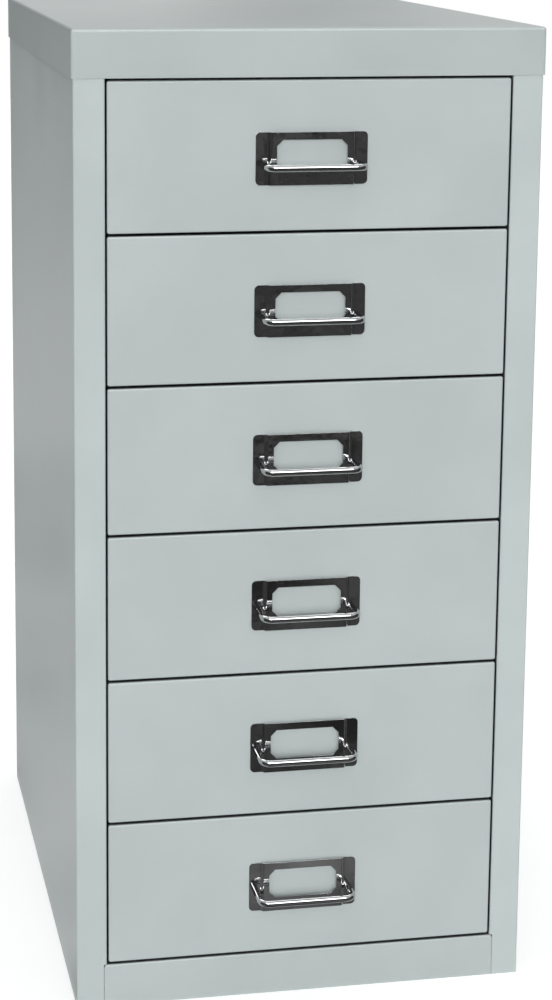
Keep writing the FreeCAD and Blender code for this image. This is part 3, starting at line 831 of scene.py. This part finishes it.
@dataclass(frozen=True)
class MirrorRoom:
    """A dim room that only gloss and metal show, in place of the white world.

    It is dark before the cabinet and to its right, and grey behind it, to its left and above, as
    in a studio where the light comes from boxes over the camera.
    """

    half_width_m: float = 3.0
    front_y: float = -4.5
    back_y: float = 1.4
    height_m: float = 2.9
    lift_m: float = 0.001
    shade_reach_m: float = 0.1
    near_reach_m: float = 0.45
    shade_glow: float = 0.05
    near_glow: float = 0.17
    far_glow: float = 0.06
    blotch_m: float = 0.2
    low_grey_glow: float = 0.45
    high_grey_glow: float = 0.05
    fade_height_m: float = 0.6
    grey_glow: float = 0.72
    cloud_m: float = 0.5
    right_reach_m: float = 1.0
    ceiling_start: float = 0.75
    ceiling_full: float = 0.95
    patch_range: tuple[float, float] = (0.35, 0.65)
    patch_glow: tuple[float, float] = (0.4, 1.6)

    def build(self) -> None:
        """Stand the room round the cabinet, with a hole in its floor where the cabinet stands."""
        low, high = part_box("top_cap")
        low.z = CAD_BOX[0].z
        floor, roof = low.z + self.lift_m, low.z + self.height_m
        across = (-self.half_width_m, low.x, high.x, self.half_width_m)
        along = (self.front_y, low.y, high.y, self.back_y)
        mesh = bmesh.new()
        grid = [[mesh.verts.new((x, y, floor)) for x in across] for y in along]
        for row in range(3):
            for column in range(3):
                if (row, column) != (1, 1):
                    mesh.faces.new((grid[row][column], grid[row][column + 1],
                                    grid[row + 1][column + 1], grid[row + 1][column]))
        rim = [(across[0], along[0]), (across[3], along[0]), (across[3], along[3]),
               (across[0], along[3])]
        base = [mesh.verts.new((x, y, floor)) for x, y in rim]
        top = [mesh.verts.new((x, y, roof)) for x, y in rim]
        for corner in range(4):
            after = (corner + 1) % 4
            mesh.faces.new((base[corner], base[after], top[after], top[corner]))
        mesh.faces.new(top)
        data = bpy.data.meshes.new("mirror_room")
        mesh.to_mesh(data)
        mesh.free()
        data.materials.append(self.make_material(low))
        room = bpy.data.objects.new("mirror_room", data)
        for kind in ("camera", "diffuse", "shadow", "transmission"):
            setattr(room, f"visible_{kind}", False)
        bpy.context.scene.collection.objects.link(room)

    def make_material(self, low: Vector) -> bpy.types.Material:
        """Build the walls' glow, a little blotchy.

        Args:
            low: the lowest corner of the cabinet.

        Returns:
            The material.
        """
        material, tree = new_material("dim_studio_walls")
        place = add_node(tree, "ShaderNodeTexCoord").outputs["Object"]
        parts = add_node(tree, "ShaderNodeSeparateXYZ", {0: place})
        reach = add_node(tree, "ShaderNodeVectorMath", {0: place, 1: (0.0, low.y, low.z)},
                         operation="DISTANCE").outputs["Value"]
        dark = add_node(tree, "ShaderNodeMapRange",
                        {"Value": reach, 1: self.shade_reach_m, 2: self.near_reach_m,
                         3: self.near_glow, 4: self.far_glow}, interpolation_type="SMOOTHSTEP")
        dark = add_node(tree, "ShaderNodeMapRange",
                        {"Value": reach, 1: 0.0, 2: self.shade_reach_m, 3: self.shade_glow,
                         4: dark.outputs[0]}, interpolation_type="SMOOTHSTEP")
        dark = self.uneven(tree, place, dark, self.blotch_m)
        grey = add_node(tree, "ShaderNodeMapRange",
                        {"Value": parts.outputs["Z"], 1: low.z, 2: low.z + self.fade_height_m,
                         3: self.low_grey_glow, 4: self.high_grey_glow})
        above = add_node(tree, "ShaderNodeMapRange",
                         {"Value": parts.outputs["Z"], 1: self.height_m * self.ceiling_start,
                          2: self.height_m * self.ceiling_full})
        middle = add_node(tree, "ShaderNodeMapRange",
                          {"Value": parts.outputs["X"], 1: low.x * 2, 2: 0.0})
        even = add_node(tree, "ShaderNodeMath", {0: middle.outputs[0], 1: above.outputs[0]},
                        operation="MAXIMUM")
        grey = add_node(tree, "ShaderNodeMix",
                        {0: even.outputs[0], 2: grey.outputs[0], 3: self.grey_glow})
        grey = self.uneven(tree, place, grey, self.cloud_m)
        right = add_node(tree, "ShaderNodeMapRange",
                         {"Value": parts.outputs["X"], 1: -low.x, 2: -low.x * 2, 3: 0.0,
                          4: self.right_reach_m})
        behind = add_node(tree, "ShaderNodeMath", {0: parts.outputs["Y"], 1: right.outputs[0]},
                          operation="SUBTRACT")
        behind = add_node(tree, "ShaderNodeMapRange",
                          {"Value": behind.outputs[0], 1: low.y, 2: low.y + self.shade_reach_m},
                          interpolation_type="SMOOTHSTEP")
        share = add_node(tree, "ShaderNodeMath", {0: behind.outputs[0], 1: above.outputs[0]},
                         operation="MAXIMUM")
        glow = add_node(tree, "ShaderNodeMix",
                        {0: share.outputs[0], 2: dark.outputs[0], 3: grey.outputs[0]})
        close_material(tree, add_node(tree, "ShaderNodeEmission", {"Strength": glow.outputs[0]}))
        return material

    def uneven(self, tree: bpy.types.NodeTree, place: bpy.types.NodeSocket, glow: bpy.types.Node,
               size_m: float) -> bpy.types.Node:
        """Make a glow a little uneven.

        Args:
            tree: the material's tree.
            place: the place in the room.
            glow: the even glow.
            size_m: the size of the patches.

        Returns:
            The node with the uneven glow.
        """
        noise = add_node(tree, "ShaderNodeTexNoise", {"Vector": place, "Scale": 1 / size_m})
        share = add_node(tree, "ShaderNodeMapRange",
                         {"Value": noise.outputs[0], 1: self.patch_range[0],
                          2: self.patch_range[1], 3: self.patch_glow[0], 4: self.patch_glow[1]})
        return add_node(tree, "ShaderNodeMath", {0: glow.outputs[0], 1: share.outputs[0]},
                        operation="MULTIPLY")


@dataclass
class Studio:
    """A plain pale floor, soft lamps and the camera."""

    floor_half_m: float = 6.0
    floor_colour: str = "#F0F1F1"
    floor_lift: float = 0.42
    sky_colour: str = "#FFFFFF"
    sky_light: float = 0.32
    camera_place: tuple[float, float, float] = (-0.294, -1.483, 0.667)
    camera_yaw: float = 10.69
    camera_pitch: float = 10.07
    camera_roll: float = 0.39
    camera_lens_mm: float = 83.05
    camera_sensor_mm: float = 36.0
    camera_shift: tuple[float, float] = (0.05, -0.2)

    def build(self) -> None:
        """Build the floor, the light and the camera."""
        self.add_floor()
        MirrorRoom().build()
        self.add_sky()
        for lamp in LAMPS:
            lamp.build()
        self.add_camera()
        bpy.context.scene.view_settings.view_transform = "Standard"
        log.info("built the studio")

    def add_floor(self) -> None:
        """Add the floor, which shows as white paper with the object's shadow on it."""
        material, tree = new_material("white_paper_floor")
        matt = add_node(tree, "ShaderNodeBsdfDiffuse", {"Color": linear(self.floor_colour)})
        seen = seen_directly(tree)
        lift = add_node(tree, "ShaderNodeMath", {0: seen, 1: self.floor_lift},
                        operation="MULTIPLY")
        glow = add_node(tree, "ShaderNodeEmission",
                        {"Color": linear(self.sky_colour), "Strength": lift.outputs[0]})
        both = add_node(tree, "ShaderNodeAddShader", {0: matt.outputs[0], 1: glow.outputs[0]})
        close_material(tree, both)
        mesh = bmesh.new()
        bmesh.ops.create_grid(mesh, x_segments=1, y_segments=1, size=self.floor_half_m)
        data = bpy.data.meshes.new("floor")
        mesh.to_mesh(data)
        mesh.free()
        data.materials.append(material)
        floor = bpy.data.objects.new("floor", data)
        floor.location.z = CAD_BOX[0].z
        bpy.context.scene.collection.objects.link(floor)

    def add_sky(self) -> None:
        """Light the scene faintly from all round, and show the camera a white backdrop."""
        world = bpy.data.worlds.new("white_studio")
        world.use_nodes = True
        tree = world.node_tree
        tree.nodes.clear()
        strength = add_node(tree, "ShaderNodeMapRange",
                            {"Value": seen_directly(tree), 3: self.sky_light, 4: 1.0})
        sky = add_node(tree, "ShaderNodeBackground",
                       {"Color": linear(self.sky_colour), "Strength": strength.outputs[0]})
        add_node(tree, "ShaderNodeOutputWorld", {"Surface": sky.outputs[0]})
        bpy.context.scene.world = world

    def add_camera(self) -> None:
        """Add the camera at the photograph's viewing angle."""
        data = bpy.data.cameras.new("camera")
        data.sensor_width = self.camera_sensor_mm
        data.lens = self.camera_lens_mm
        data.shift_x, data.shift_y = self.camera_shift
        camera = bpy.data.objects.new("camera", data)
        yaw, pitch, roll = (math.radians(angle) for angle in
                            (self.camera_yaw, self.camera_pitch, self.camera_roll))
        level = Matrix.Rotation(-yaw, 3, "Z") @ Matrix.Rotation(math.pi / 2 - pitch, 3, "X")
        camera.matrix_world = Matrix.Translation(self.camera_place) @ (
            level @ Matrix.Rotation(roll, 3, "Z")).to_4x4()
        bpy.context.scene.collection.objects.link(camera)
        bpy.context.scene.camera = camera


def seen_directly(tree: bpy.types.NodeTree) -> bpy.types.NodeSocket:
    """Tell what is seen straight from the camera, in a mirror or through glass.

    Args:
        tree: the tree of the material or the world.

    Returns:
        The socket that gives 1 on such a ray and 0 on any other.
    """
    path = add_node(tree, "ShaderNodeLightPath")
    seen = add_node(tree, "ShaderNodeMath",
                    {0: path.outputs["Is Camera Ray"], 1: path.outputs["Is Glossy Ray"]},
                    operation="ADD")
    seen = add_node(tree, "ShaderNodeMath",
                    {0: seen.outputs[0], 1: path.outputs["Is Transmission Ray"]},
                    operation="ADD", use_clamp=True)
    return seen.outputs[0]


def main() -> None:
    """Dress the cabinet, and build what stands round it."""
    logging.basicConfig(level=logging.INFO, format="%(message)s")
    paint = PowderCoat().make()
    wide_paint = PowderCoat(name="semi_matt_powder_coat_on_wide_sheet", light_colour="#C7D1D0",
                            dark_colour="#BFC9C8", wave_depth_mm=1.2).make()
    cap_paint = PowderCoat(name="semi_matt_powder_coat_on_pressed_cap", light_colour="#BEC7C6",
                           dark_colour="#B6BFBE", wave_along_mm=180.0, wave_depth_mm=1.2,
                           weld_band_share=0.0).make()
    chrome = ChromePlate().make()
    Carcass(paint, cap_paint, wide_paint, GalvanisedSheet().make()).build()
    zinc, nylon = ZincPlate().make(), MouldedNylon().make()
    for number in range(1, DRAWERS + 1):
        Drawer(number, paint, chrome, zinc, nylon).build()
    Studio().build()


if __name__ == "__main__":
    main()
